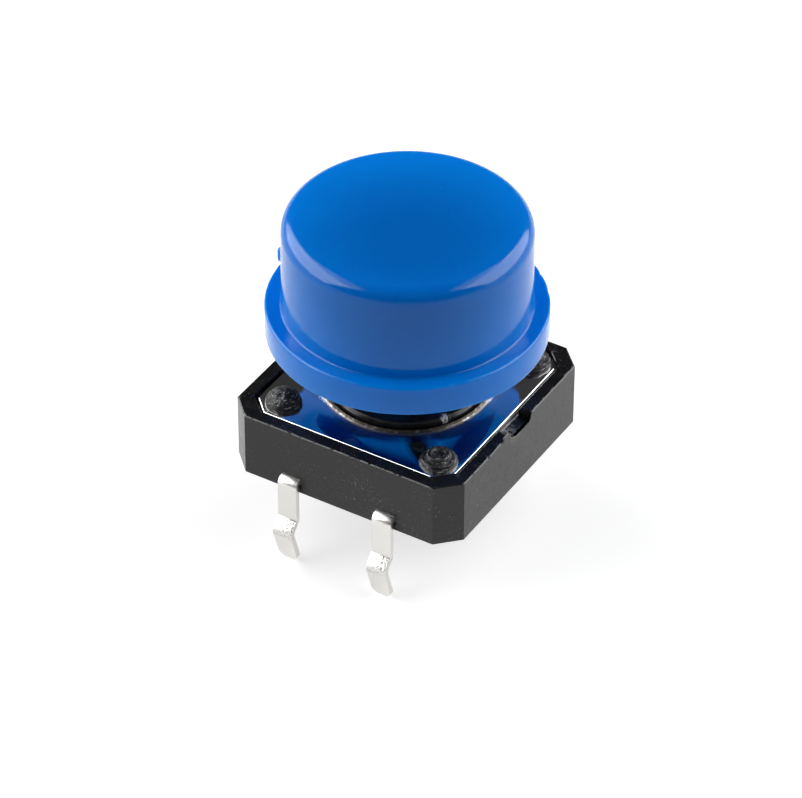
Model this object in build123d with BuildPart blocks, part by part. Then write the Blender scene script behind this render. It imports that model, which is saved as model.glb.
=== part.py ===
from build123d import *
import math
import os

# Tactile push button switch, 12 mm square, with a round push-on cap.
# Millimetres. +Z is the way the plunger points. The origin is on the base's underside, on the
# plunger's axis, where the switch meets its circuit board. The four legs reach below it.

# ---- base moulding ----
base_size = 12.0           # square, across the flats
base_height = 3.3          # underside to the top of the rim
base_corner = 1.03         # plan chamfer at each corner
rim_width = 0.62           # wall that stands round the cover plate
rim_edge = 0.06            # broken outer edge of the rim
floor_height = 1.1         # plastic under the contact well, with the lead frames inside it
notch_width = 2.2          # dip in the +X rim, from the gate
notch_depth = 0.3
notch_slope = 0.4          # sideways run of each sloped end
notch_offset = -0.1        # its middle along Y

# ---- cover plate ----
plate_thickness = 0.25
plate_sunk = 0.1           # top of the plate below the top of the rim
plate_play = 0.15          # gap all round, plate to rim
plate_corner = 0.8
lip_height = 0.3           # drawn collar above the plate's top
lip_wall = 0.13            # width of the collar's flat top
lip_flare = 0.3            # sideways run of the collar's foot

# ---- staked pegs, part of the base ----
peg_inset = 1.8            # each peg's middle in from the base's sides
peg_shank_radius = 0.55
peg_hole_play = 0.08
peg_head_radius = 0.87
peg_head_height = 0.27     # lower, spread tier
peg_crown_radius = 0.53    # upper tier left by the staking punch
peg_crown_height = 0.18
peg_dimple_radius = 0.3
peg_dimple_depth = 0.1

# ---- plunger ----
neck_radius = 3.7
neck_play = 0.1            # neck to the plate's collar
neck_rise = 0.65           # neck top above the plate's top
neck_edge = 0.12
post_width = 3.8           # square post for the cap
post_top = 7.3             # above the base's underside
post_edge = 0.2
post_corner = 0.25
flange_hold = 0.5          # retaining flange, out under the plate's collar
flange_thickness = 0.7
flange_play = 0.03         # flange to the plate's underside
key_width = 1.2            # two keys stop the plunger turning
key_reach = 0.4
nub_radius = 0.9
snap_groove_height = 0.5
snap_groove_depth = 0.12
snap_groove_middle = 5.4   # above the base's underside

# ---- stroke, and the wells in the base ----
stroke = 0.3
over_travel = 0.15         # left under the flange at the end of the stroke
well_play = 0.12           # plunger flange and keys to the wall
dome_play = 0.1

# ---- snap dome ----
dome_radius = 3.95
dome_thickness = 0.1

# ---- lead frames and legs ----
leg_gap = 0.1              # between a leg and the base's side
leg_column_pitch = 5.0
leg_width = 1.0
leg_thickness = 0.3
leg_level = 0.65           # mid-thickness of the lead frame above the underside
leg_straight_end = -1.45   # where the leg starts to kink outwards
kink_reach = 0.5
kink_bottom = -1.95
tip_reach = -0.1           # the tip's middle, from the leg's straight part
leg_tip = -3.8
kink_bend = 0.3            # middle radius of the two kinks
tip_corner = 0.38
contact_radius = 0.5
centre_contact_rise = 0.1  # above the well's floor
outer_contact_radius = 0.35

# ---- cap ----
cap_top = 12.5             # above the base's underside
cap_flange_radius = 6.45
cap_flange_bottom = 6.41
cap_flange_top = 7.9
cap_flange_edge = 0.15
cap_radius = 5.7           # at the flange
cap_draft = 0.04           # how far the wall leans in by its top
cap_edge = 0.7
cap_foot = 0.1             # fillet between wall and flange
cap_wall = 1.15
cap_roof = 1.2
cap_cavity_draft = 0.1
tab_inset = 0.575          # four tabs grip the post's flats, and leave its corners open by this
tab_thickness = 0.55
tab_play = 0.02
tab_bottom_gap = 0.1       # tabs above the neck
seat_rib = 0.8             # crossed ribs that stop on the post's top
ridge_height = 0.35
ridge_width = 1.6
gate_angle = 174.0         # moulding gate left on the flange's edge
gate_reach = 0.75
gate_width = 1.0
gate_height = 0.75
gate_round = 0.3

# ---- levels and places that follow from the sizes above ----
plate_top = base_height - plate_sunk
plate_bottom = plate_top - plate_thickness
recess_half = base_size / 2 - rim_width
plate_half = recess_half - plate_play
collar_radius = neck_radius + neck_play
flange_radius = collar_radius + flange_hold
peg_pitch = base_size - 2 * peg_inset
neck_top = plate_top + neck_rise
flange_top = plate_bottom - flange_play
flange_bottom = flange_top - flange_thickness
dome_top = floor_height + centre_contact_rise + stroke + dome_thickness
upper_well_floor = flange_bottom - stroke - over_travel
tab_inner = post_width / 2 + tab_play
tab_bottom = neck_top + tab_bottom_gap
cap_ceiling = cap_top - cap_roof
tab_width = post_width - 2 * tab_inset
leg_middle = base_size / 2 + leg_gap + leg_thickness / 2

os.makedirs("parts", exist_ok=True)


def lead_frame_path():
    """Middle line of one lead frame, seen along X: rear tip, rear leg, strip, front leg, front tip."""
    half = [
        (leg_middle, leg_level),
        (leg_middle, leg_straight_end),
        (leg_middle + kink_reach, kink_bottom),
        (leg_middle + tip_reach, leg_tip),
    ]
    rear = [(y, z) for y, z in reversed(half)]
    front = [(-y, z) for y, z in half]
    bend = leg_gap + leg_thickness / 2
    radii = [kink_bend, kink_bend, bend, bend, kink_bend, kink_bend]
    return rear + front, radii


def leg_strip(side_x):
    """One stamped strip with its two bent legs, at a column of legs. Adds to the part being built."""
    points, radii = lead_frame_path()
    with BuildSketch(Plane.YZ.offset(side_x)) as side_view:
        with BuildLine():
            FilletPolyline(*points, radius=radii)
        trace(line_width=leg_thickness)
    extrude(side_view.sketch, amount=leg_width / 2, both=True)


def trim_leg_tips(strip):
    """Cuts the strip level at the tips, where the switch stands, and rounds the tips' corners."""
    with BuildSketch(Plane.XY.offset(leg_tip)) as ground:
        Rectangle(2 * base_size, 2 * base_size)
    extrude(ground.sketch, amount=-leg_thickness, mode=Mode.SUBTRACT)
    tip_faces = strip.faces().group_by(Axis.Z)[0]
    corners = [edge for face in tip_faces for edge in face.edges().filter_by(Axis.Y)]
    fillet(corners, radius=tip_corner)


# The left lead frame: a branch from its strip ends in the centre contact, which stands a little
# above the well's floor.
with BuildPart() as terminal_left:
    leg_strip(-leg_column_pitch / 2)
    trim_leg_tips(terminal_left)
    with BuildSketch(Plane.XY.offset(leg_level - leg_thickness / 2)):
        with Locations((-leg_column_pitch / 4, 0)):
            Rectangle(leg_column_pitch / 2, leg_width)
        Circle(contact_radius)
    extrude(amount=leg_thickness)
    with BuildSketch(Plane.XY.offset(leg_level)):
        Circle(contact_radius)
    extrude(amount=floor_height + centre_contact_rise - leg_level)
terminal_left.part.label = "terminal_left"
export_step(terminal_left.part, "parts/terminal_left.step")

# The right lead frame: two pads come up through the floor under the snap dome's rim.
dome_rim_middle = dome_radius - dome_thickness
outer_contact_y = math.sqrt(dome_rim_middle ** 2 - (leg_column_pitch / 2) ** 2)
with BuildPart() as terminal_right:
    leg_strip(leg_column_pitch / 2)
    trim_leg_tips(terminal_right)
    with BuildSketch(Plane.XY.offset(leg_level)):
        with Locations((leg_column_pitch / 2, outer_contact_y), (leg_column_pitch / 2, -outer_contact_y)):
            Circle(outer_contact_radius)
    extrude(amount=floor_height - leg_level)
terminal_right.part.label = "terminal_right"
export_step(terminal_right.part, "parts/terminal_right.step")

# The base: an open tray with a stepped round well, moulded round both lead frames. Its four pegs
# pass through the cover plate, and their ends are melted into heads that hold it down.
with BuildPart() as base:
    with BuildSketch() as outline:
        Rectangle(base_size, base_size)
        chamfer(outline.vertices(), length=base_corner)
    extrude(amount=base_height)
    chamfer(base.faces().sort_by(Axis.Z)[-1].edges(), length=rim_edge)
    with BuildSketch(Plane.XY.offset(plate_bottom)) as recess:
        Rectangle(2 * plate_half, 2 * plate_half)
        chamfer(recess.vertices(), length=plate_corner)
        offset(amount=plate_play, kind=Kind.INTERSECTION)
    extrude(amount=base_height - plate_bottom, mode=Mode.SUBTRACT)
    with BuildSketch(Plane.XY.offset(upper_well_floor)):
        Circle(flange_radius + well_play)
        Rectangle(2 * (flange_radius + key_reach + well_play), key_width + 2 * well_play)
    extrude(amount=plate_bottom - upper_well_floor, mode=Mode.SUBTRACT)
    with BuildSketch(Plane.XY.offset(floor_height)):
        Circle(dome_radius + dome_play)
    extrude(amount=upper_well_floor - floor_height, mode=Mode.SUBTRACT)
    # The dip in the rim is a tapered slot, cut along X through the +X wall only.
    with BuildSketch(Plane.YZ.offset(recess_half - plate_play)):
        with BuildLine():
            Polyline(
                (notch_offset - notch_width / 2, base_height),
                (notch_offset - notch_width / 2 + notch_slope, base_height - notch_depth),
                (notch_offset + notch_width / 2 - notch_slope, base_height - notch_depth),
                (notch_offset + notch_width / 2, base_height),
                close=True,
            )
        make_face()
    extrude(amount=rim_width + 2 * plate_play, mode=Mode.SUBTRACT)
    with BuildSketch(Plane.XY.offset(plate_bottom)):
        with GridLocations(peg_pitch, peg_pitch, 2, 2):
            Circle(peg_shank_radius)
    extrude(amount=plate_thickness)
    with BuildSketch(Plane.XY.offset(plate_top)):
        with GridLocations(peg_pitch, peg_pitch, 2, 2):
            Circle(peg_head_radius)
    extrude(amount=peg_head_height)
    with BuildSketch(Plane.XY.offset(plate_top + peg_head_height)):
        with GridLocations(peg_pitch, peg_pitch, 2, 2):
            Circle(peg_crown_radius)
    extrude(amount=peg_crown_height)
    with BuildSketch(Plane.XY.offset(plate_top + peg_head_height + peg_crown_height)):
        with GridLocations(peg_pitch, peg_pitch, 2, 2):
            Circle(peg_dimple_radius)
    extrude(amount=-peg_dimple_depth, mode=Mode.SUBTRACT)
    add(terminal_left.part, mode=Mode.SUBTRACT)
    add(terminal_right.part, mode=Mode.SUBTRACT)
base.part.label = "base"
export_step(base.part, "parts/base.step")

# The snap dome: a shallow sprung disc. Its rim stands on the outer contacts, and its middle is
# the stroke's length above the centre contact.
with BuildPart() as snap_dome:
    with BuildSketch(Plane.XZ):
        with BuildLine():
            top = ThreePointArc(
                (-dome_radius, floor_height + dome_thickness),
                (0, dome_top),
                (dome_radius, floor_height + dome_thickness),
            )
            Line(top @ 1, (dome_radius, floor_height))
            under = ThreePointArc(
                (dome_radius, floor_height),
                (0, dome_top - dome_thickness),
                (-dome_radius, floor_height),
            )
            Line(under @ 1, top @ 0)
        make_face()
        with Locations((dome_radius, dome_top / 2)):
            Rectangle(2 * dome_radius, 2 * dome_top, mode=Mode.INTERSECT)
    revolve(axis=Axis.Z)
snap_dome.part.label = "snap_dome"
export_step(snap_dome.part, "parts/snap_dome.step")

# The cover plate: thin sheet with a low collar drawn up round the plunger's neck.
with BuildPart() as cover_plate:
    with BuildSketch(Plane.XY.offset(plate_bottom)) as sheet:
        Rectangle(2 * plate_half, 2 * plate_half)
        chamfer(sheet.vertices(), length=plate_corner)
        with GridLocations(peg_pitch, peg_pitch, 2, 2):
            Circle(peg_shank_radius + peg_hole_play, mode=Mode.SUBTRACT)
        Circle(collar_radius + lip_wall + lip_flare, mode=Mode.SUBTRACT)
    extrude(amount=plate_thickness)
    with BuildSketch(Plane.XZ):
        with BuildLine():
            Polyline(
                (collar_radius, plate_bottom + lip_flare / 2),
                (collar_radius, plate_top + lip_height),
                (collar_radius + lip_wall, plate_top + lip_height),
                (collar_radius + lip_wall + lip_flare, plate_top),
                (collar_radius + lip_wall + lip_flare, plate_bottom),
                (collar_radius + lip_flare / 2, plate_bottom),
                close=True,
            )
        make_face()
    revolve(axis=Axis.Z)
cover_plate.part.label = "cover_plate"
export_step(cover_plate.part, "parts/cover_plate.step")

# The plunger: nub, keyed flange, round neck and square post, turned into one moulding.
with BuildPart() as plunger:
    with BuildSketch(Plane.XY.offset(dome_top)):
        Circle(nub_radius)
    extrude(amount=flange_bottom - dome_top)
    with BuildSketch(Plane.XY.offset(flange_bottom)):
        Circle(flange_radius)
        Rectangle(2 * (flange_radius + key_reach), key_width)
    extrude(amount=flange_thickness)
    with BuildSketch(Plane.XY.offset(flange_top)):
        Circle(neck_radius)
    extrude(amount=neck_top - flange_top)
    fillet(plunger.faces().sort_by(Axis.Z)[-1].edges(), radius=neck_edge)
    with BuildSketch(Plane.XY.offset(neck_top)) as post:
        Rectangle(post_width, post_width)
        fillet(post.vertices(), radius=post_corner)
    extrude(amount=post_top - neck_top)
    chamfer(plunger.faces().sort_by(Axis.Z)[-1].edges(), length=post_edge)
    # A shallow groove round the post takes the cap's snap ridges.
    with BuildSketch(Plane.XY.offset(snap_groove_middle - snap_groove_height / 2)):
        Rectangle(post_width, post_width)
        Rectangle(post_width - 2 * snap_groove_depth, post_width - 2 * snap_groove_depth, mode=Mode.SUBTRACT)
    extrude(amount=snap_groove_height, mode=Mode.SUBTRACT)
plunger.part.label = "plunger"
export_step(plunger.part, "parts/plunger.step")

# The cap: one shell with a flange. Inside, four tabs hang from the roof round the post, with
# their corners open, and crossed ribs between them stop on the post's top.
with BuildPart() as cap:
    with BuildSketch(Plane.XZ) as section:
        with BuildLine():
            Polyline(
                (0, cap_flange_bottom),
                (cap_flange_radius, cap_flange_bottom),
                (cap_flange_radius, cap_flange_top),
                (cap_radius, cap_flange_top),
                (cap_radius - cap_draft, cap_top),
                (0, cap_top),
                close=True,
            )
        make_face()
        fillet(section.vertices().group_by(Axis.Y)[-1].sort_by(Axis.X)[-1], radius=cap_edge)
        fillet(section.vertices().group_by(Axis.Y)[1].sort_by(Axis.X)[0], radius=cap_foot)
        fillet(section.vertices().group_by(Axis.X)[-1], radius=cap_flange_edge)
    revolve(axis=Axis.Z)
    with BuildSketch(Plane.XZ):
        with BuildLine():
            Polyline(
                (0, cap_flange_bottom),
                (cap_radius - cap_wall, cap_flange_bottom),
                (cap_radius - cap_wall - cap_cavity_draft, cap_ceiling),
                (0, cap_ceiling),
                close=True,
            )
        make_face()
    revolve(axis=Axis.Z, mode=Mode.SUBTRACT)
    with BuildSketch(Plane.XY.offset(tab_bottom)):
        with PolarLocations(tab_inner + tab_thickness / 2, 4):
            Rectangle(tab_thickness, tab_width)
    extrude(amount=cap_ceiling - tab_bottom)
    with BuildSketch(Plane.XY.offset(post_top)):
        Rectangle(2 * tab_inner, seat_rib)
        Rectangle(seat_rib, 2 * tab_inner)
    extrude(amount=cap_ceiling - post_top)
    with BuildSketch(Plane.XY.offset(snap_groove_middle - ridge_height / 2)):
        with PolarLocations(tab_inner, 4):
            Rectangle(2 * (snap_groove_depth - tab_play), ridge_width)
    extrude(amount=ridge_height)
    with BuildSketch(Plane.XY.offset(cap_flange_top - gate_height)) as gate:
        with PolarLocations(cap_flange_radius, 1, start_angle=gate_angle):
            Rectangle(2 * gate_reach, gate_width)
        fillet(gate.vertices(), radius=gate_round)
    extrude(amount=gate_height - cap_flange_edge)
cap.part.label = "cap"
export_step(cap.part, "parts/cap.step")
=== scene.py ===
# %% [markdown]
# # A tactile push button switch with a round cap
#
# This lesson dresses a small electronic switch in Blender. The switch is a black square base,
# a bright metal cover plate held down by four melted pegs, a black plunger, four silver legs and
# a round blue cap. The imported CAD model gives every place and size, so we load it first and
# measure it. Each visible piece is then made again with rounded edges, small flaws and a finish
# of its own, and rides on the CAD body that carries it.

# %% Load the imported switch
import math

import bmesh
import bpy
from mathutils import Matrix, Vector, noise


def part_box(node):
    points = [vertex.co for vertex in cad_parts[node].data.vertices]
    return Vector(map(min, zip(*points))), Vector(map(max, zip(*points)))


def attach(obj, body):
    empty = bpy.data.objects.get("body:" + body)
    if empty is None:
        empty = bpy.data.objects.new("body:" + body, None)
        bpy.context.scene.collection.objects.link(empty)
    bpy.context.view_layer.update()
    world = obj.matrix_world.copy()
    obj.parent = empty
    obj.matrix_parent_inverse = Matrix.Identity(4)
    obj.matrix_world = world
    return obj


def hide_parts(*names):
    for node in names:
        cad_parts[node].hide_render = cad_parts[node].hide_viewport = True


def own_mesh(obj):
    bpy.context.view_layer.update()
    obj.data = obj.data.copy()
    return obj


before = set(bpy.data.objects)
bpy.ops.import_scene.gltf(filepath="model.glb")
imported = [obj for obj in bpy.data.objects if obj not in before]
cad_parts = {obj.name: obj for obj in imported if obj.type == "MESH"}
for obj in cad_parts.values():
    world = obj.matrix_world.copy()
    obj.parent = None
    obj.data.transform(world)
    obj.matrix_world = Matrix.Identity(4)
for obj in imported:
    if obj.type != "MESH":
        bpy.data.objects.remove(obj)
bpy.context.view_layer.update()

# %% [markdown]
# ## Sizes in millimetres
#
# The switch is 12 mm wide, so millimetres are the natural unit for shaping it, and every mesh is
# scaled to metres when it is finished. The levels come from the CAD nodes' own boxes. Only sizes
# that a box can't tell, such as the width of the rim, are written as numbers.

# %% Levels and radii
MM = 0.001
TURN = 2 * math.pi


def node_box(node):
    """Lowest and highest corner of a CAD node, in millimetres."""
    low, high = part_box(node)
    return low / MM, high / MM


plate_low, plate_high = node_box("cover_plate")
dome_low, dome_high = node_box("snap_dome")
cap_high = node_box("cap")[1]

base_half = node_box("base")[1].x
base_corner = 1.03
rim_top = 3.3
rim_width = 0.62
recess_half = base_half - rim_width
peg_inset = 1.8
peg_place = base_half - peg_inset
plate_half = plate_high.x
plate_corner = 0.8
plate_thickness = 0.25
plate_bottom = plate_low.z
plate_top = plate_bottom + plate_thickness
collar_top = plate_high.z
neck_radius = 3.7
neck_play = 0.1
collar = neck_radius + neck_play
neck_rise = 0.65
neck_top = plate_top + neck_rise
post_half = 1.9
post_top = node_box("plunger")[1].z
cap_top = cap_high.z
flange_radius = cap_high.x
flange_top = 7.9
flange_bottom = 6.41
ground = node_box("terminal_left")[0].z
print("base", base_half * 2, "plate half", round(plate_half, 3), "cap top", round(cap_top, 2))

# %% [markdown]
# ## Tools for shaping
#
# Three kinds of shape come back again and again here. Round pieces are turned: half an outline
# is drawn, its corners are rounded, and it is spun round the plunger's axis. The base and the
# plate are square with cut corners, so one ring of edges is extruded from level to level, and
# each new ring is set at its own distance from the middle. Small blocks start as a cube. Doubles
# are merged before the normals are recalculated, because a spin leaves many points on its axis.

# %% Turned shapes
def turned(outline, rounds=(), steps=144):
    """A shell spun round Z from (radius, height) points. rounds lists (corner, radius, segments)."""
    bm = bmesh.new()
    corners = [bm.verts.new((radius, 0, height)) for radius, height in outline]
    for pair in zip(corners, corners[1:]):
        bm.edges.new(pair)
    for corner, radius, segments in rounds:
        bmesh.ops.bevel(bm, geom=[corners[corner]], offset=radius, offset_type="OFFSET",
                        affect="VERTICES", segments=segments, profile=0.5, material=-1)
    bmesh.ops.spin(bm, geom=bm.verts[:] + bm.edges[:], cent=(0, 0, 0), axis=(0, 0, 1),
                   angle=TURN, steps=steps, use_merge=True)
    bmesh.ops.remove_doubles(bm, verts=bm.verts, dist=1e-4)
    bmesh.ops.recalc_face_normals(bm, faces=bm.faces)
    return bm


# %% Rings and walls
def cut_square(half, corner):
    """A square with cut corners, as a distance from the middle in the direction (across, along)."""
    def reach(across, along):
        across, along = abs(across), abs(along)
        return min(half / max(across, along), (2 * half - corner) / (across + along))
    return reach


def circle(radius):
    """The same distance from the middle in every direction."""
    return lambda across, along: radius


def first_ring(bm, half, corner, height, long_cuts=159, short_cuts=11):
    """A ring of edges round a square with cut corners, with many evenly spaced points."""
    square = bmesh.ops.create_grid(bm, x_segments=1, y_segments=1, size=half)["verts"]
    bmesh.ops.translate(bm, verts=square, vec=(0, 0, height))
    bmesh.ops.bevel(bm, geom=square, offset=corner, offset_type="OFFSET", affect="VERTICES",
                    segments=1, profile=0.5, material=-1)
    bmesh.ops.delete(bm, geom=bm.faces[:], context="FACES_ONLY")
    long_enough = 0.9 * max(edge.calc_length() for edge in bm.edges)
    sides = [edge for edge in bm.edges if edge.calc_length() > long_enough]
    corners = [edge for edge in bm.edges if edge.calc_length() <= long_enough]
    bmesh.ops.subdivide_edges(bm, edges=sides, cuts=long_cuts)
    bmesh.ops.subdivide_edges(bm, edges=corners, cuts=short_cuts)
    return bm.edges[:]


def wall_to(bm, ring, reach, height):
    """Extrudes the ring, and sets the new one at its own reach and height."""
    made = bmesh.ops.extrude_edge_only(bm, edges=ring)["geom"]
    points = {item for item in made if isinstance(item, bmesh.types.BMVert)}
    for point in points:
        across, along = point.co.xy.normalized()
        distance = reach(across, along)
        point.co = (across * distance, along * distance, height)
    edges = [item for item in made if isinstance(item, bmesh.types.BMEdge)]
    return [edge for edge in edges if set(edge.verts) <= points]


# %% Blocks, and joining shapes
def block(low, high, edge=0.0, segments=2):
    """A cube between two corners, with its edges rounded."""
    bm = bmesh.new()
    bmesh.ops.create_cube(bm, size=1)
    size = Vector(high) - Vector(low)
    bmesh.ops.scale(bm, verts=bm.verts, vec=size)
    bmesh.ops.translate(bm, verts=bm.verts, vec=(Vector(high) + Vector(low)) / 2)
    if edge:
        bmesh.ops.bevel(bm, geom=bm.edges[:], offset=edge, offset_type="OFFSET", affect="EDGES",
                        segments=segments, profile=0.5, material=-1)
    return bm


def join(bm, *others):
    """Moves other shapes into this one."""
    for other in others:
        carried = bpy.data.meshes.new("carried")
        other.to_mesh(carried)
        other.free()
        bm.from_mesh(carried)
        bpy.data.meshes.remove(carried)
    return bm


def with_modifier(bm, kind, **settings):
    """The shape after one modifier, as a new shape."""
    mesh = bpy.data.meshes.new("before")
    bm.to_mesh(mesh)
    bm.free()
    holder = bpy.data.objects.new("holder", mesh)
    bpy.context.scene.collection.objects.link(holder)
    modifier = holder.modifiers.new("shape", kind)
    for name, value in settings.items():
        setattr(modifier, name, value)
    shaped = holder.evaluated_get(bpy.context.evaluated_depsgraph_get())
    result = bmesh.new()
    result.from_mesh(shaped.to_mesh())
    shaped.to_mesh_clear()
    bpy.data.objects.remove(holder)
    bpy.data.meshes.remove(mesh)
    return result


# %% [markdown]
# ## Finishing a piece
#
# Every piece ends the same way: it is scaled to metres, shaded smooth with its real corners kept
# sharp, given its finish, and tied to the CAD body it moves with. Weighted normals keep the
# large flat faces flat next to their small rounded edges.

# %% One way to finish every piece
def finish_piece(bm, name, finish, body, slot, *nodes, sharp=35):
    """Turns a shape into a scene object. Corners of more than sharp degrees stay sharp."""
    bmesh.ops.scale(bm, verts=bm.verts, vec=(MM, MM, MM))
    mesh = bpy.data.meshes.new(name)
    bm.to_mesh(mesh)
    bm.free()
    mesh.polygons.foreach_set("use_smooth", [True] * len(mesh.polygons))
    mesh.set_sharp_from_angle(angle=math.radians(sharp))
    mesh.materials.append(finish)
    piece = bpy.data.objects.new(name, mesh)
    bpy.context.scene.collection.objects.link(piece)
    weighted = piece.modifiers.new("flat faces stay flat", "WEIGHTED_NORMAL")
    weighted.keep_sharp = True
    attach(piece, body)
    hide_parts(*nodes)
    print(name, "faces", len(mesh.polygons))
    return piece


# %% [markdown]
# ## Camera
#
# The camera looks down on the switch from a little under 40 degrees, past the corner between its
# front and right sides, with a long lens from far off, as a catalogue would show it. A small
# shift sets the switch in the frame. The lamps are placed later by the same two angles.

# %% Place the camera
def towards(azimuth, height):
    """The way from the switch to something round it. Azimuth is measured from the front."""
    return Vector((math.sin(azimuth) * math.cos(height),
                   -math.cos(azimuth) * math.cos(height),
                   math.sin(height)))


camera_azimuth = math.radians(31.051)
camera_height = math.radians(38.894)
camera_distance = 208.41
camera_roll = math.radians(0.247)
camera_data = bpy.data.cameras.new("camera")
camera_data.sensor_width = 36
camera_data.lens = 202.84
camera_data.shift_x = -0.0072
camera_data.shift_y = 0.0478
camera_data.clip_start = 0.01
camera = bpy.data.objects.new("camera", camera_data)
bpy.context.scene.collection.objects.link(camera)
bpy.context.scene.camera = camera
away = towards(camera_azimuth, camera_height)
camera.location = away * camera_distance * MM
level = (-away).to_track_quat("-Z", "Y").to_matrix()
camera.rotation_euler = (level @ Matrix.Rotation(camera_roll, 3, "Z")).to_euler()
print("camera at", [round(v, 4) for v in camera.location])

# %% [markdown]
# ## Floor and light
#
# The switch stands on white board under two wide soft lamps, one at each side. Two flatter lamps
# next to them are seen only in shiny skins, where they brighten the highlights and leave the
# shadow as it is. The white board lights the walls from below, and that is what makes the black
# plastic look grey at a glancing angle. The surroundings are white at the horizon and dark above
# it, so the flat tops have no haze on them. The floor adds some of its own white for the camera
# and for reflections, and keeps the soft shadow.

# %% Node helpers
def add_node(tree, kind, *links, **values):
    """A shader node. links feed its sockets, and values set properties or socket defaults."""
    made = tree.nodes.new("ShaderNode" + kind)
    for name, value in values.items():
        if hasattr(made, name) and name not in made.inputs:
            setattr(made, name, value)
        else:
            made.inputs[name].default_value = value
    for socket, source in links:
        tree.links.new(source, made.inputs[socket])
    return made


# %% Floor
floor_white = 0.62
floor_glow = 0.6
floor_half = 1500
floor_mesh = bpy.data.meshes.new("floor")
floor_bm = bmesh.new()
bmesh.ops.create_grid(floor_bm, x_segments=1, y_segments=1, size=floor_half * MM)
bmesh.ops.translate(floor_bm, verts=floor_bm.verts, vec=(0, 0, ground * MM))
floor_bm.to_mesh(floor_mesh)
floor_bm.free()
floor_finish = bpy.data.materials.new("white_board")
floor_finish.use_nodes = True
tree = floor_finish.node_tree
tree.nodes.clear()
paper = add_node(tree, "BsdfDiffuse", Color=(floor_white, floor_white, floor_white, 1))
ray = add_node(tree, "LightPath")
seen = add_node(tree, "Math", (0, ray.outputs["Is Camera Ray"]), (1, ray.outputs["Is Glossy Ray"]),
                operation="ADD")
seen = add_node(tree, "Math", (0, seen.outputs[0]), (1, ray.outputs["Is Transmission Ray"]),
                operation="ADD")
glow = add_node(tree, "Math", (0, seen.outputs[0]), operation="MULTIPLY")
glow.inputs[1].default_value = floor_glow
shine = add_node(tree, "Emission", ("Strength", glow.outputs[0]), Color=(1, 1, 1, 1))
both = add_node(tree, "AddShader", (0, paper.outputs[0]), (1, shine.outputs[0]))
add_node(tree, "OutputMaterial", ("Surface", both.outputs[0]))
floor_mesh.materials.append(floor_finish)
floor = bpy.data.objects.new("floor", floor_mesh)
bpy.context.scene.collection.objects.link(floor)

# %% Surroundings
horizon_white = 1.0
overhead_grey = 0.035
horizon_band = 0.12
world = bpy.data.worlds.new("studio")
bpy.context.scene.world = world
world.use_nodes = True
tree = world.node_tree
tree.nodes.clear()
way = add_node(tree, "TexCoord")
split = add_node(tree, "SeparateXYZ", (0, way.outputs["Generated"]))
rise = add_node(tree, "MapRange", ("Value", split.outputs["Z"]), interpolation_type="SMOOTHSTEP")
rise.inputs["From Min"].default_value = 0.0
rise.inputs["From Max"].default_value = horizon_band
rise.inputs["To Min"].default_value = horizon_white
rise.inputs["To Max"].default_value = overhead_grey
sky = add_node(tree, "Background", ("Strength", rise.outputs[0]), Color=(1, 1, 1, 1))
add_node(tree, "OutputWorld", ("Surface", sky.outputs[0]))

# %% Lamps
lamp_distance = 330


def soft_lamp(name, azimuth, height, watts, wide=430, tall=400, gleam=False):
    """A soft lamp that faces the switch, at degrees round from the camera. gleam: for shiny skins."""
    data = bpy.data.lights.new(name, "AREA")
    data.shape = "RECTANGLE"
    data.size = wide * MM
    data.size_y = tall * MM
    data.energy = watts
    lamp = bpy.data.objects.new(name, data)
    lamp.visible_diffuse = not gleam
    bpy.context.scene.collection.objects.link(lamp)
    way = towards(camera_azimuth + math.radians(azimuth), math.radians(height))
    lamp.location = way * lamp_distance * MM
    lamp.rotation_euler = (-way).to_track_quat("-Z", "Y").to_euler()


soft_lamp("lamp_left", -101, 36, 1.4)
soft_lamp("lamp_right", 101, 36, 1.3)
soft_lamp("gleam_left", -106, 34, 1.9, wide=470, tall=270, gleam=True)
soft_lamp("gleam_right", 104, 34, 1.6, wide=440, tall=270, gleam=True)
print("lamps", [lamp.name for lamp in bpy.data.lights])

# %% [markdown]
# ## Finishes
#
# Each finish reads Object coordinates through a mapping that turns them into millimetres, so a
# grain of 0.1 mm is written as 0.1. The same few steps make all of them: soft random grain, a
# range that picks part of it, and a bump that gives it height.

# %% Finish helpers
def new_finish(name, colour, roughness, metallic=0.0, specular=0.5):
    """A material with its shader, and a socket of coordinates in millimetres."""
    finish = bpy.data.materials.new(name)
    finish.use_nodes = True
    tree = finish.node_tree
    shader = tree.nodes["Principled BSDF"]
    shader.inputs["Base Color"].default_value = (*colour, 1)
    shader.inputs["Roughness"].default_value = roughness
    shader.inputs["Metallic"].default_value = metallic
    shader.inputs["Specular IOR Level"].default_value = specular
    coordinates = add_node(tree, "TexCoord")
    in_mm = add_node(tree, "Mapping", ("Vector", coordinates.outputs["Object"]))
    in_mm.inputs["Scale"].default_value = (1 / MM, 1 / MM, 1 / MM)
    return finish, tree, shader, in_mm.outputs["Vector"]


def grain(tree, place, size, detail=3.0, stretch=(1, 1, 1), rough=0.5):
    """Soft random grain. size is how wide a grain is, in millimetres."""
    pulled = add_node(tree, "Mapping", ("Vector", place))
    pulled.inputs["Scale"].default_value = stretch
    made = add_node(tree, "TexNoise", ("Vector", pulled.outputs["Vector"]))
    made.inputs["Scale"].default_value = 1 / size
    made.inputs["Detail"].default_value = detail
    made.inputs["Roughness"].default_value = rough
    return made.outputs["Fac"]


def ranged(tree, value, low, high, to_low=0.0, to_high=1.0):
    """Spreads the part of a value between low and high over a new range."""
    made = add_node(tree, "MapRange", ("Value", value))
    made.inputs["From Min"].default_value = low
    made.inputs["From Max"].default_value = high
    made.inputs["To Min"].default_value = to_low
    made.inputs["To Max"].default_value = to_high
    return made.outputs[0]


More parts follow.
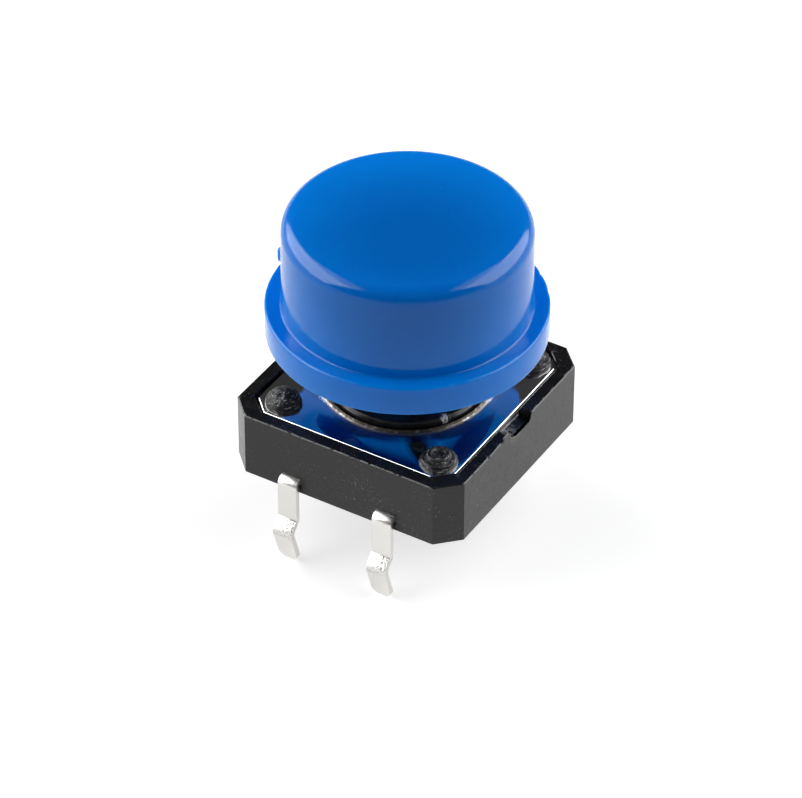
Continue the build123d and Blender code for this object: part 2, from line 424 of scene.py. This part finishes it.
def varied(tree, grains, low, high):
    """Soft grain, which lies mostly between 0.3 and 0.7, spread from low to high."""
    return ranged(tree, grains, 0.3, 0.7, low, high)


def multiplied(tree, first, second):
    """Two values multiplied."""
    made = add_node(tree, "Math", (0, first), (1, second), operation="MULTIPLY")
    return made.outputs[0]


def blended(tree, share, first, second):
    """One colour turning into another. Each is a colour or a socket."""
    made = add_node(tree, "Mix", data_type="RGBA")
    tree.links.new(share, made.inputs[0])
    for socket, colour in ((6, first), (7, second)):
        if isinstance(colour, tuple):
            made.inputs[socket].default_value = (*colour, 1)
        else:
            tree.links.new(colour, made.inputs[socket])
    return made.outputs[2]


def relief(tree, heights, depth, under=None):
    """Bump from a height, depth millimetres deep, on top of an earlier one."""
    made = add_node(tree, "Bump", ("Height", heights))
    made.inputs["Distance"].default_value = depth * MM
    if under is not None:
        tree.links.new(under, made.inputs["Normal"])
    return made.outputs[0]


def distance_from(tree, place, spot):
    """How far a place is from one spot, in millimetres."""
    made = add_node(tree, "VectorMath", (0, place), operation="DISTANCE")
    made.inputs[1].default_value = spot
    return made.outputs["Value"]


def height_of(tree, place):
    """How high a place is."""
    return add_node(tree, "SeparateXYZ", (0, place)).outputs["Z"]


def turn_and_radius(tree, place):
    """The angle of a place round Z, in radians, and its distance from Z."""
    flat = add_node(tree, "SeparateXYZ", (0, place))
    turn = add_node(tree, "Math", (0, flat.outputs["Y"]), (1, flat.outputs["X"]), operation="ARCTAN2")
    level = add_node(tree, "VectorMath", (0, place), operation="MULTIPLY")
    level.inputs[1].default_value = (1, 1, 0)
    radius = add_node(tree, "VectorMath", (0, level.outputs[0]), operation="LENGTH")
    return turn.outputs[0], radius.outputs["Value"]


# %% [markdown]
# ### Glossy blue plastic
#
# The cap is moulded in a strong blue and comes out of a polished mould, so it has little grain.
# Light goes a little way into the plastic. The colour also holds painted light: it is painted deeper,
# as painted shade, round a spot on the top a little off the middle towards the camera, and painted
# brighter towards the rim and walls, as a painted glow of the light that comes through them. A faint
# waviness in the shine and a few specks of dust finish it.

# %% Cap plastic
cap_blue = (0.0, 0.21, 0.74)
# Painted shade and painted glow: the blue is painted deeper round a spot on the top, off the middle
# towards the camera, and painted brighter out to the rim and walls.
cap_blue_painted_shade = (0.0, 0.112, 0.445)
dust_blue = (0.16, 0.36, 0.72)
painted_shade_spot = (1.0, -1.3, cap_top)
painted_shade_until = 1.2
painted_glow_from = 9.0
cap_plastic, tree, shader, place = new_finish("cap_plastic", cap_blue, 0.1, specular=0.22)
from_painted_shade_spot = distance_from(tree, place, painted_shade_spot)
glow = add_node(tree, "MapRange", ("Value", from_painted_shade_spot), interpolation_type="SMOOTHSTEP")
glow.inputs["From Min"].default_value = painted_shade_until
glow.inputs["From Max"].default_value = painted_glow_from
clouds = varied(tree, grain(tree, place, 4.0, 2), 0.9, 1.1)
# Random cloudy tone, times the painted glow ramp from the painted shade spot.
tone_and_painted_glow = blended(tree, multiplied(tree, glow.outputs[0], clouds), cap_blue_painted_shade, cap_blue)
shader.inputs["Subsurface Weight"].default_value = 0.5
shader.inputs["Subsurface Radius"].default_value = (0.1, 0.6, 1.0)
shader.inputs["Subsurface Scale"].default_value = 1.5 * MM
specks = ranged(tree, grain(tree, place, 0.11, 2), 0.76, 0.82)
tree.links.new(blended(tree, specks, tone_and_painted_glow, dust_blue), shader.inputs["Base Color"])
tree.links.new(varied(tree, grain(tree, place, 1.2), 0.07, 0.15), shader.inputs["Roughness"])
waviness = relief(tree, grain(tree, place, 1.6, 2), 0.004)
tree.links.new(relief(tree, grain(tree, place, 0.06, 2), 0.0006, waviness), shader.inputs["Normal"])

# %% [markdown]
# ### Black filled resin
#
# The base is black resin filled with glass, so its skin is satin with fine grain. Pale dust lies
# on it, and next to the gate the skin is torn and lighter. It has almost no colour of its own:
# nearly all that we see is the white room in its satin shine.

# %% Base resin
resin_black = (0.008, 0.008, 0.0085)
resin_dust = (0.2, 0.2, 0.19)
base_resin, tree, shader, place = new_finish("base_resin", resin_black, 0.26, specular=0.37)
smudges = ranged(tree, grain(tree, place, 2.2), 0.42, 0.62)
flecks = ranged(tree, grain(tree, place, 0.09, 2), 0.65, 0.72)
dusty = multiplied(tree, smudges, flecks)
torn_place = (base_half - 0.3, -0.4, rim_top - 0.15)
tear_edge = 0.75
tear_core = 0.35
near_tear = ranged(tree, distance_from(tree, place, torn_place), tear_edge, tear_core)
torn_skin = multiplied(tree, near_tear, ranged(tree, grain(tree, place, 0.12, 4), 0.42, 0.66))
dusty = add_node(tree, "Math", (0, dusty), (1, torn_skin), operation="MAXIMUM").outputs[0]
tree.links.new(blended(tree, dusty, resin_black, resin_dust), shader.inputs["Base Color"])
tree.links.new(varied(tree, grain(tree, place, 0.5), 0.2, 0.3), shader.inputs["Roughness"])
skin = relief(tree, grain(tree, place, 0.3), 0.006)
tree.links.new(relief(tree, grain(tree, place, 0.05, 2), 0.0018, skin), shader.inputs["Normal"])

# %% [markdown]
# ### Melted resin
#
# The peg heads are the same resin after a hot punch has pressed it. The heat tears the skin, so
# it is rough, lumpy and dusty.

# %% Peg resin
peg_dust = (0.55, 0.55, 0.54)
peg_resin, tree, shader, place = new_finish("peg_resin", resin_black, 0.4, specular=0.35)
mirrored = add_node(tree, "VectorMath", (0, place), operation="ABSOLUTE")
from_peg = add_node(tree, "VectorMath", (0, mirrored.outputs[0]), operation="SUBTRACT")
from_peg.inputs[1].default_value = (peg_place, peg_place, 0)
turn, radius = turn_and_radius(tree, from_peg.outputs[0])
height = height_of(tree, from_peg.outputs[0])
rings = add_node(tree, "CombineXYZ", ("X", turn), ("Y", radius), ("Z", height))
torn = ranged(tree, grain(tree, rings.outputs[0], 0.07, 4, (0.12, 1.2, 1.6), 0.6), 0.58, 0.64)
torn = multiplied(tree, torn, ranged(tree, grain(tree, place, 0.2, 3), 0.42, 0.56))
tree.links.new(blended(tree, torn, resin_black, peg_dust), shader.inputs["Base Color"])
tree.links.new(varied(tree, grain(tree, place, 0.2), 0.3, 0.55), shader.inputs["Roughness"])
lumps = relief(tree, grain(tree, place, 0.16, 4, (1, 1, 2)), 0.05)
tree.links.new(relief(tree, grain(tree, place, 0.04, 2), 0.008, lumps), shader.inputs["Normal"])

# %% [markdown]
# ### Black plunger plastic
#
# The plunger slides in its collar, so it is a smooth satin black with a few pale rubbed marks,
# and it has one pale streaked patch near the top of its neck.

# %% Plunger plastic
plunger_black = (0.005, 0.005, 0.006)
rubbed_grey = (0.12, 0.12, 0.12)
streak_white = (0.6, 0.6, 0.6)
plunger_plastic, tree, shader, place = new_finish("plunger_plastic", plunger_black, 0.3, specular=0.4)
rubs = multiplied(tree, ranged(tree, grain(tree, place, 0.9), 0.55, 0.7),
                  ranged(tree, grain(tree, place, 0.05, 2, (1, 1, 0.3)), 0.6, 0.72))
# A pale patch of fine upright streaks near the top of the neck.
pale_streak_place = (3.17, -1.9, 3.72)
pale_streak_edge = 0.3
pale_streak_core = 0.18
near_pale_streak = ranged(tree, distance_from(tree, place, pale_streak_place), pale_streak_edge, pale_streak_core)
streak_lines = ranged(tree, grain(tree, place, 0.08, 3, (1, 1, 0.22)), 0.44, 0.5)
streaked = multiplied(tree, near_pale_streak, streak_lines)
worn = blended(tree, rubs, plunger_black, rubbed_grey)
tree.links.new(blended(tree, streaked, worn, streak_white), shader.inputs["Base Color"])
tree.links.new(varied(tree, grain(tree, place, 0.3), 0.25, 0.4), shader.inputs["Roughness"])
tree.links.new(relief(tree, grain(tree, place, 0.08, 3), 0.002), shader.inputs["Normal"])

# %% [markdown]
# ### Bright rolled sheet
#
# The cover plate is bright sheet. Rolling leaves long fine lines along it, and drawing the collar
# up leaves it slightly wavy, so the cap's blue underside shows in it with soft edges. The collar's
# lip is painted dull dark bronze: partly its rubbed cut edge, and partly a painted reflection of
# the black neck in place of the white it would mirror. Fine scratches run round its foot.

# %% Plate metal
plate_silver = (0.88, 0.88, 0.89)
plate_grey = (0.82, 0.82, 0.83)
lip_bronze_and_painted_reflection = (0.07, 0.062, 0.052)
lip_dullness = 0.35
plate_metal, tree, shader, place = new_finish("plate_metal", plate_silver, 0.16, metallic=1.0)
rolled = grain(tree, place, 0.03, 3, (0.03, 1, 1))
patches = grain(tree, place, 1.3)
# The lip band is painted dark: partly the dull cut edge, partly a painted reflection of the black neck.
lip = multiplied(tree, ranged(tree, height_of(tree, place), plate_top + 0.09, plate_top + 0.15),
                 ranged(tree, grain(tree, place, 0.25, 3), 0.3, 0.45, 0.75, 1.0))
polish = varied(tree, patches, 0.05, 0.11)
dull = add_node(tree, "Math", (0, lip), (2, polish), operation="MULTIPLY_ADD")
dull.inputs[1].default_value = lip_dullness
tree.links.new(dull.outputs[0], shader.inputs["Roughness"])
sheet = blended(tree, ranged(tree, patches, 0.4, 0.7), plate_silver, plate_grey)
tree.links.new(blended(tree, lip, sheet, lip_bronze_and_painted_reflection), shader.inputs["Base Color"])
drawn = relief(tree, grain(tree, place, 2.0, 1), 0.012)
turn, radius = turn_and_radius(tree, place)
round_axis = add_node(tree, "CombineXYZ", ("X", turn), ("Y", radius))
streaks = grain(tree, round_axis.outputs[0], 0.025, 4, (1, 0.08, 1), 0.7)
by_collar = multiplied(tree, ranged(tree, radius, collar + 1.1, collar + 0.4),
                       ranged(tree, radius, collar, collar + 0.1))
scratched = relief(tree, multiplied(tree, by_collar, streaks), 0.006, drawn)
tree.links.new(relief(tree, rolled, 0.0004, scratched), shader.inputs["Normal"])

# %% [markdown]
# ### Spring steel
#
# The snap dome is hard bright steel, with fine grain and a slightly uneven shine.

# %% Dome steel
steel_grey = (0.62, 0.61, 0.59)
steel_bright = (0.7, 0.69, 0.66)
dome_steel, tree, shader, place = new_finish("dome_steel", steel_grey, 0.22, metallic=1.0)
tree.links.new(varied(tree, grain(tree, place, 0.5), 0.16, 0.3), shader.inputs["Roughness"])
tree.links.new(blended(tree, grain(tree, place, 1.1), steel_grey, steel_bright),
               shader.inputs["Base Color"])
tree.links.new(relief(tree, grain(tree, place, 0.06), 0.001), shader.inputs["Normal"])

# %% [markdown]
# ### Silver-plated legs
#
# The legs are stamped brass with soft white silver over it. Where the kink stretches the metal
# the plating breaks into bright grains, so the bump and the dark flecks grow only in that band
# of height.

# %% Leg silver
silver_white = (0.72, 0.705, 0.68)
silver_dark = (0.45, 0.42, 0.38)
kink_level = -1.75
broken_reach = 0.42
broken_fade = 0.12
leg_silver, tree, shader, place = new_finish("leg_silver", silver_white, 0.32, metallic=1.0)
from_kink = add_node(tree, "Math", (0, height_of(tree, place)), operation="SUBTRACT")
from_kink.inputs[1].default_value = kink_level
apart = add_node(tree, "Math", (0, from_kink.outputs[0]), operation="ABSOLUTE").outputs[0]
in_band = ranged(tree, apart, broken_reach, broken_reach - broken_fade)
grains = grain(tree, place, 0.09, 3)
flecks = multiplied(tree, in_band, ranged(tree, grains, 0.56, 0.66))
tree.links.new(blended(tree, flecks, silver_white, silver_dark), shader.inputs["Base Color"])
tree.links.new(varied(tree, grain(tree, place, 0.4), 0.26, 0.38), shader.inputs["Roughness"])
plating = relief(tree, grain(tree, place, 0.12, 3), 0.003)
broken = multiplied(tree, in_band, grains)
tree.links.new(relief(tree, broken, 0.05, plating), shader.inputs["Normal"])
print("finishes", sorted(m.name for m in bpy.data.materials))

# %% [markdown]
# ## The base
#
# The base is a tray: an eight-sided wall, a narrow rim, a recess for the plate, and a stepped
# round well. One ring of edges starts low on the outside and is extruded at every change of
# level, over the rim and down to the floor of the well. It holds many points, so the moulded rim
# can then be pushed into its small flaws.

# %% Base rings
upper_well_radius = 4.42
upper_well_floor = 1.77
lower_well_radius = 4.05
lower_well_floor = 1.1
base = bmesh.new()
ring = first_ring(base, base_half, base_corner, 0.05)
underside = wall_to(base, ring, cut_square(base_half - 0.05, 1.0), 0.0)
for reach, height in ((cut_square(base_half, base_corner), rim_top - 0.16),
                      (cut_square(base_half, base_corner), rim_top - 0.045),
                      (cut_square(base_half - 0.045, 1.01), rim_top),
                      (cut_square(base_half - 0.13, 0.99), rim_top),
                      (cut_square(recess_half + 0.03, 0.9), rim_top),
                      (cut_square(recess_half, 0.888), rim_top - 0.03),
                      (cut_square(recess_half, 0.888), plate_bottom),
                      (circle(upper_well_radius), plate_bottom),
                      (circle(upper_well_radius), upper_well_floor),
                      (circle(lower_well_radius), upper_well_floor),
                      (circle(lower_well_radius), lower_well_floor)):
    ring = wall_to(base, ring, reach, height)
bmesh.ops.holes_fill(base, edges=underside + ring, sides=0)
bmesh.ops.recalc_face_normals(base, faces=base.faces)
print("base rings", len(base.verts), "points")

# %% [markdown]
# Two slots in the upper well guide the plunger's keys. The rim dips on one side, where the resin
# entered the mould. Its far end is a clean step. At its near end the gate has torn away and left
# a tooth of flash, and the outer edge stays ragged from there to the corner. The rest of the
# rim's outer edge has a small nick here and there.

# %% Key slots, dip and ragged rim
slot_half_width = 0.72
slot_reach = 4.82
dip_far = 0.95
dip_near = -0.95
dip_depth = 0.36
flash_middle = -1.12
flash_height = 0.3
ragged_from = -4.6
ragged_to = 1.2
ragged_times = 2.2
nick_size = 0.05


def dip_at(y):
    """How far the rim dips at a place along the +X side."""
    step = min(1, max(0, (dip_far - y) / 0.1))
    slope = min(1, max(0, (y - dip_near) / 0.55))
    return dip_depth * step * slope ** 0.6


def flash_at(y):
    """How high the torn flash stands on the outer edge of the +X side."""
    spread = 0.2 if y > flash_middle else 0.7
    teeth = 0.7 + 0.9 * noise.noise(Vector((y * 3.1, 2.0, 0.0)))
    return flash_height * teeth * math.exp(-((y - flash_middle) / spread) ** 2)


def nick_at(x, y):
    """How deep the outer edge is nicked, from 0 to about 1."""
    wide = noise.noise(Vector((x, y, 0.0)) * 2.3)
    fine = noise.noise(Vector((x, y, 5.0)) * 9)
    return max(0, 0.6 * wide + 0.9 * fine - 0.25)


for vert in base.verts:
    x, y, z = vert.co
    on_upper_well = z > lower_well_floor + 0.1 and abs(math.hypot(x, y) - upper_well_radius) < 0.01
    if on_upper_well and abs(y) < slot_half_width:
        vert.co.x = math.copysign(slot_reach, x)
    if z > rim_top - 0.06:
        from_outside = base_half - max(abs(x), abs(y), (abs(x) + abs(y) + base_corner) / 2)
        on_gate_side = x > recess_half - 0.1
        if on_gate_side:
            unevenness = 0.03 * noise.noise(Vector((x * 4, y * 4, 1.0))) * min(1, dip_at(y) * 9)
            vert.co.z -= dip_at(y) + unevenness
        if from_outside < 0.06:
            is_ragged = x > base_half - 0.2 and ragged_from < y < ragged_to
            nick = nick_at(x, y) * (ragged_times if is_ragged else 1.0)
            if on_gate_side:
                vert.co.z += flash_at(y)
            vert.co.z -= 0.8 * nick_size * nick
            if z > rim_top - 0.01 and abs(x) > base_half - 0.1:
                vert.co.x -= math.copysign(nick_size * nick, x)
            if z > rim_top - 0.01 and abs(y) > base_half - 0.1:
                vert.co.y -= math.copysign(nick_size * nick, y)
print("rim dips by", round(dip_at(0.5), 2), "mm")

# %% Finish the base
finish_piece(base, "base_moulding", base_resin, "housing", "base_plastic", "base", sharp=40)

# %% [markdown]
# ## The peg heads
#
# Each peg's end is melted into a head by a hot punch. A wide tier spreads over the plate, and a
# smaller tier with a dimple stands on it. One of the four was pressed harder and came out as a
# single dome. They are turned like the cap, then lumped with seeded noise, each differently.

# %% Peg heads
domed_outline = [(0, 0.76), (0.42, 0.7), (0.72, 0.46), (0.85, 0.16), (0.84, 0)]
domed_rounds = [(1, 0.15, 4), (2, 0.12, 4), (3, 0.08, 3)]
tiered_outline = [(0, 0.48), (0.3, 0.5), (0.36, 0.62), (0.52, 0.6), (0.56, 0.4),
                  (0.78, 0.37), (0.76, 0.24), (0.87, 0.2), (0.85, 0)]
tiered_rounds = [(1, 0.04, 2), (2, 0.04, 3), (3, 0.05, 3), (4, 0.04, 3), (5, 0.05, 3),
                 (6, 0.04, 2), (7, 0.06, 3)]
lump_size = 0.06
pressed_askew = 0.18


def peg_head(x, y, seed, domed):
    """A melted peg head from an outline above the plate, made lumpy in its own way by its seed."""
    foot = plate_top - 0.03
    outline = domed_outline if domed else tiered_outline
    rounds = domed_rounds if domed else tiered_rounds
    head = turned([(radius, foot + rise) for radius, rise in outline], rounds, steps=96)
    shift = Vector((seed * 7.3, seed * 3.1, 0))
    for vert in head.verts:
        lump = lump_size if vert.co.z > foot + 0.05 else 0.0
        push = noise.noise(vert.co * 3.2 + shift) + 0.6 * noise.noise(vert.co * 9 + shift)
        crumb = noise.noise(vert.co * 22 + shift)
        away_from_axis = Vector((vert.co.x, vert.co.y, 0)) * 0.8
        vert.co += away_from_axis * lump * (push + 0.35 * crumb)
        vert.co.z += lump * min(0.3, 0.8 * push + 0.5 * crumb)
    bmesh.ops.translate(head, verts=head.verts, vec=(x, y, 0))
    return head


for seed, (x_side, y_side) in enumerate(((1, -1), (-1, -1), (1, 1), (-1, 1))):
    domed = seed == 1
    x = x_side * peg_place + (pressed_askew if domed else 0.0)
    head = peg_head(x, y_side * peg_place, seed, domed)
    finish_piece(head, f"peg_head_{seed + 1}", peg_resin, "housing", "base_plastic", sharp=50)

# %% [markdown]
# ## The cover plate
#
# The plate is thin sheet with a low collar drawn up round the plunger. One ring again goes over
# the outer edge, up the foot, slope and lip of the collar, down its bore and out along the
# underside, until it meets itself. Its rounded outer edge catches the light as a thin white
# line.

# %% Cover plate
plate = bmesh.new()
plate_edge = 0.035
ring = first_ring(plate, plate_half, plate_corner, plate_bottom + 0.03)
for reach, height in ((cut_square(plate_half, plate_corner), plate_top - plate_edge),
                      (cut_square(plate_half - 0.3 * plate_edge, plate_corner),
                       plate_top - 0.3 * plate_edge),
                      (cut_square(plate_half - plate_edge, 0.79), plate_top),
                      (circle(collar + 0.75), plate_top),
                      (circle(collar + 0.62), plate_top + 0.012),
                      (circle(collar + 0.48), plate_top + 0.04),
                      (circle(collar + 0.32), plate_top + 0.083),
                      (circle(collar + 0.17), plate_top + 0.128),
                      (circle(collar + 0.1), plate_top + 0.16),
                      (circle(collar + 0.075), plate_top + 0.2),
                      (circle(collar + 0.06), plate_top + 0.26),
                      (circle(collar + 0.04), collar_top),
                      (circle(collar + 0.01), collar_top - 0.01),
                      (circle(collar), collar_top - 0.04),
                      (circle(collar), plate_bottom + 0.15),
                      (circle(collar + 0.15), plate_bottom),
                      (cut_square(plate_half - 0.03, 0.79), plate_bottom),
                      (cut_square(plate_half, plate_corner), plate_bottom + 0.03)):
    ring = wall_to(plate, ring, reach, height)
bmesh.ops.remove_doubles(plate, verts=plate.verts, dist=1e-4)
bmesh.ops.recalc_face_normals(plate, faces=plate.faces)
finish_piece(plate, "plate_with_collar", plate_metal, "housing", "plate_metal", "cover_plate", sharp=50)

# %% [markdown]
# ## The plunger
#
# The plunger is one moulding: a small nub that pushes the dome, a keyed flange that holds it
# under the plate, a round neck, and a square post for the cap. The round parts are one outline.
# The keys and the post are blocks set into it, with a shallow groove round the post where the
# cap snaps on.

# %% Plunger
nub_radius = 0.9
keeper_radius = 4.3
keeper_bottom = 2.22
keeper_top = 2.92
key_reach = 4.7
key_half = 0.6
groove_middle = 5.4
groove_half_height = 0.25
groove_overlap = 0.15
groove_half = post_half - 0.12
plunger_outline = [(0, dome_high.z), (nub_radius, dome_high.z), (nub_radius, keeper_bottom),
                   (keeper_radius, keeper_bottom), (keeper_radius, keeper_top),
                   (neck_radius, keeper_top), (neck_radius, neck_top), (0, neck_top)]
plunger = turned(plunger_outline, [(1, 0.08, 3), (3, 0.06, 2), (4, 0.06, 2), (6, 0.12, 4)])
key = block((-key_reach, -key_half, keeper_bottom), (key_reach, key_half, keeper_top), 0.05)
groove_bottom = groove_middle - groove_half_height
groove_top = groove_middle + groove_half_height
post_foot = block((-post_half, -post_half, neck_top - 0.1),
                  (post_half, post_half, groove_bottom), 0.12, 3)
post_groove = block((-groove_half, -groove_half, groove_bottom - groove_overlap),
                    (groove_half, groove_half, groove_top + groove_overlap), 0.05)
post_head = block((-post_half, -post_half, groove_top), (post_half, post_half, post_top), 0.2, 3)
join(plunger, key, post_foot, post_groove, post_head)
finish_piece(plunger, "plunger_moulding", plunger_plastic, "button", "plunger_plastic", "plunger")

# %% [markdown]
# ## The cap
#
# The cap is a turned shell with a flange. Its outline runs from the middle of the top, over the
# rounded edge, down the wall, round the flange and up inside. Only the big top edge is soft. The
# corner between wall and flange is nearly sharp, and shows as a thin bright line. A stretch of the
# flange's upper edge is slightly chipped.

# %% Cap shell
wall_top_radius = 5.66
wall_foot_radius = 5.7
cavity_radius = 4.55
roof = 1.2
ceiling = cap_top - roof
chipped_from = -1.6
chipped_to = 0.9
cap_outline = [(0, cap_top), (wall_top_radius, cap_top), (wall_foot_radius, flange_top),
               (flange_radius - 0.2, flange_top), (flange_radius, flange_top),
               (flange_radius, flange_top - 0.2), (flange_radius, flange_bottom),
               (cavity_radius, flange_bottom), (cavity_radius - 0.1, ceiling), (0, ceiling)]
cap_rounds = [(1, 0.7, 12), (2, 0.09, 4), (4, 0.1, 5), (6, 0.13, 5), (7, 0.08, 3), (8, 0.25, 4)]
cap = turned(cap_outline, cap_rounds, steps=192)
for vert in cap.verts:
    x, y, z = vert.co
    turn = math.atan2(y, x)
    on_edge = math.hypot(x, y) > flange_radius - 0.1 and z > flange_top - 0.12
    if on_edge and chipped_from < turn < chipped_to:
        wide = noise.noise(Vector((x, y, 0)) * 1.7)
        fine = noise.noise(Vector((x, y, 3)) * 4.3)
        chip = max(0, wide + 0.8 * fine - 0.1)
        vert.co.z -= 0.02 * chip
        vert.co.xy *= 1 - 0.006 * chip
print("cap shell", len(cap.faces), "faces")

# %% [markdown]
# Inside, four tabs hang from the roof and grip the post's flats, and crossed ribs stop on its
# top. The gate is the small stub on the flange where the plastic entered the mould.

# %% Cap tabs, ribs and gate
tab_inner = post_half + 0.02
tab_outer = tab_inner + 0.55
tab_half = 1.325
tab_bottom = neck_top + 0.1
bead_half = 0.8
bead_half_height = 0.175
rib_half = 0.4
in_roof = ceiling + 0.1
gate_half = 0.48
gate_height = 0.75
gate_reach = 0.72
gate_azimuth = math.radians(174)
for side in range(4):
    tab = block((tab_inner, -tab_half, tab_bottom), (tab_outer, tab_half, in_roof), 0.06)
    bead = block((tab_inner - 0.1, -bead_half, groove_middle - bead_half_height),
                 (tab_inner + 0.05, bead_half, groove_middle + bead_half_height), 0.04)
    join(tab, bead)
    quarter_turns = Matrix.Rotation(side * TURN / 4, 3, "Z")
    bmesh.ops.rotate(tab, verts=tab.verts, cent=(0, 0, 0), matrix=quarter_turns)
    join(cap, tab)
rib_long = block((-tab_inner, -rib_half, post_top), (tab_inner, rib_half, in_roof), 0.03)
rib_cross = block((-rib_half, -tab_inner, post_top), (rib_half, tab_inner, in_roof), 0.03)
gate = block((flange_radius - 0.3, -gate_half, flange_top - gate_height),
             (flange_radius + gate_reach, gate_half, flange_top), 0.14, 4)
gate_turn = Matrix.Rotation(gate_azimuth, 3, "Z")
bmesh.ops.rotate(gate, verts=gate.verts, cent=(0, 0, 0), matrix=gate_turn)
join(cap, rib_long, rib_cross, gate)
finish_piece(cap, "round_cap", cap_plastic, "button", "cap_plastic", "cap", sharp=50)

# %% [markdown]
# ## The legs
#
# Two stamped strips cross the base, and each is bent down into a leg at both ends. A strip is
# drawn as a bent line seen from the side, its corners are rounded with a vertex bevel, it is
# pulled out sideways into a ribbon, and a Solidify modifier gives it its thickness. Cutting it
# level makes the tips that it stands on.

# %% Lead frames
column = 2.5
leg_middle = base_half + 0.25
leg_width = 1.0
leg_thickness = 0.3
strip_level = 0.65
kink_top = -1.45
kink_bottom = -1.95
kink_reach = 0.5
tip_in = 0.13
leg_points = [(leg_middle, strip_level), (leg_middle, kink_top),
              (leg_middle + kink_reach, kink_bottom), (leg_middle - tip_in, ground - 0.1)]
leg_bends = [0.25, 0.3, 0.3]
tip_corner = 0.36
worn_edge = 0.035


def bend_offset(before, at, after, radius):
    """How far along each side a bend of this radius starts."""
    turn = (Vector(at) - Vector(before)).angle(Vector(after) - Vector(at))
    return radius * math.tan(turn / 2)


def lead_frame(middle_x):
    """A strip across the base, bent down at both ends and cut level at the ground."""
    path = leg_points[::-1] + [(-y, z) for y, z in leg_points]
    radii = leg_bends[::-1] + leg_bends
    strip = bmesh.new()
    points = [strip.verts.new((middle_x - leg_width / 2, y, z)) for y, z in path]
    for pair in zip(points, points[1:]):
        strip.edges.new(pair)
    for index, radius in enumerate(radii, start=1):
        offset = bend_offset(*path[index - 1:index + 2], radius)
        bmesh.ops.bevel(strip, geom=[points[index]], offset=offset, offset_type="OFFSET",
                        affect="VERTICES", segments=6, profile=0.5, material=-1)
    pulled = bmesh.ops.extrude_edge_only(strip, edges=strip.edges[:])["geom"]
    far = [item for item in pulled if isinstance(item, bmesh.types.BMVert)]
    bmesh.ops.translate(strip, verts=far, vec=(leg_width, 0, 0))
    bmesh.ops.recalc_face_normals(strip, faces=strip.faces)
    strip = with_modifier(strip, "SOLIDIFY", thickness=leg_thickness, offset=0.0,
                          use_even_offset=True)
    cut = bmesh.ops.bisect_plane(strip, geom=strip.verts[:] + strip.edges[:] + strip.faces[:],
                                 plane_co=(0, 0, ground), plane_no=(0, 0, 1), clear_inner=True)
    open_edges = [item for item in cut["geom_cut"] if isinstance(item, bmesh.types.BMEdge)]
    bmesh.ops.holes_fill(strip, edges=open_edges, sides=0)
    bmesh.ops.recalc_face_normals(strip, faces=strip.faces)
    return strip


def soften_leg(strip):
    """Rounds the tips' corners, then takes the sharpness off every long edge."""
    at_tip = [edge for edge in strip.edges if all(vert.co.z < ground + 0.01 for vert in edge.verts)]
    corners = [edge for edge in at_tip if abs(edge.verts[0].co.x - edge.verts[1].co.x) < 0.01]
    bmesh.ops.bevel(strip, geom=corners, offset=tip_corner, offset_type="OFFSET", affect="EDGES",
                    segments=7, profile=0.5, material=-1)
    shared = [edge for edge in strip.edges if len(edge.link_faces) == 2]
    worn = [edge for edge in shared if edge.calc_face_angle() > math.radians(60)]
    bmesh.ops.bevel(strip, geom=worn, offset=worn_edge, offset_type="OFFSET", affect="EDGES",
                    segments=2, profile=0.5, material=-1, clamp_overlap=True)
    return strip


# %% [markdown]
# The left strip branches to the contact under the middle of the dome. The right one has two
# pads under the dome's rim. They are small turned posts, and they lie inside the base.

# %% Left and right terminals
contact_radius = 0.5
contact_top = lower_well_floor + 0.1
strip_low = strip_level - leg_thickness / 2
strip_high = strip_level + leg_thickness / 2
left_strip = soften_leg(lead_frame(-column))
branch = block((0.3 - column, -contact_radius, strip_low), (0, contact_radius, strip_high))
contact_outline = [(0, contact_top), (contact_radius, contact_top),
                   (contact_radius, strip_low), (0, strip_low)]
centre_contact = turned(contact_outline, [(1, 0.06, 2)], steps=48)
join(left_strip, branch, centre_contact)
finish_piece(left_strip, "left_lead_frame", leg_silver, "housing", "terminal_metal",
             "terminal_left", sharp=40)

pad_radius = 0.35
pad_circle = 3.85
pad_y = math.sqrt(pad_circle ** 2 - column ** 2)
pad_outline = [(0, lower_well_floor), (pad_radius, lower_well_floor),
               (pad_radius, strip_level), (0, strip_level)]
right_strip = soften_leg(lead_frame(column))
for side in (1, -1):
    pad = turned(pad_outline, steps=40)
    bmesh.ops.translate(pad, verts=pad.verts, vec=(column, side * pad_y, 0))
    join(right_strip, pad)
finish_piece(right_strip, "right_lead_frame", leg_silver, "housing", "terminal_metal",
             "terminal_right", sharp=40)

# %% [markdown]
# ## The snap dome
#
# A shallow sprung disc under the plunger. Its outline is a low arch with a small thickness,
# turned into a shell, with a mesh of its own. When the button goes down the real dome flattens
# towards its rim.

# %% Snap dome
dome_radius = dome_high.x
dome_thickness = 0.1
dome_rise = dome_high.z - dome_low.z - dome_thickness
shares = [step / 10 for step in range(11)]
arch = [(dome_radius * share, dome_rise * (1 - share ** 2)) for share in shares]
over = [(radius, dome_low.z + dome_thickness + rise) for radius, rise in arch]
under = [(radius, dome_low.z + rise) for radius, rise in reversed(arch)]
dome = turned(over + under, steps=96)
dome_piece = finish_piece(dome, "snap_dome_disc", dome_steel, "housing", "dome_metal",
                          "snap_dome", sharp=50)
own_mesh(dome_piece)

# %% [markdown]
# ## Show it plainly
#
# Standard view keeps colours as they are written.

# %% View
bpy.context.scene.view_settings.view_transform = "Standard"
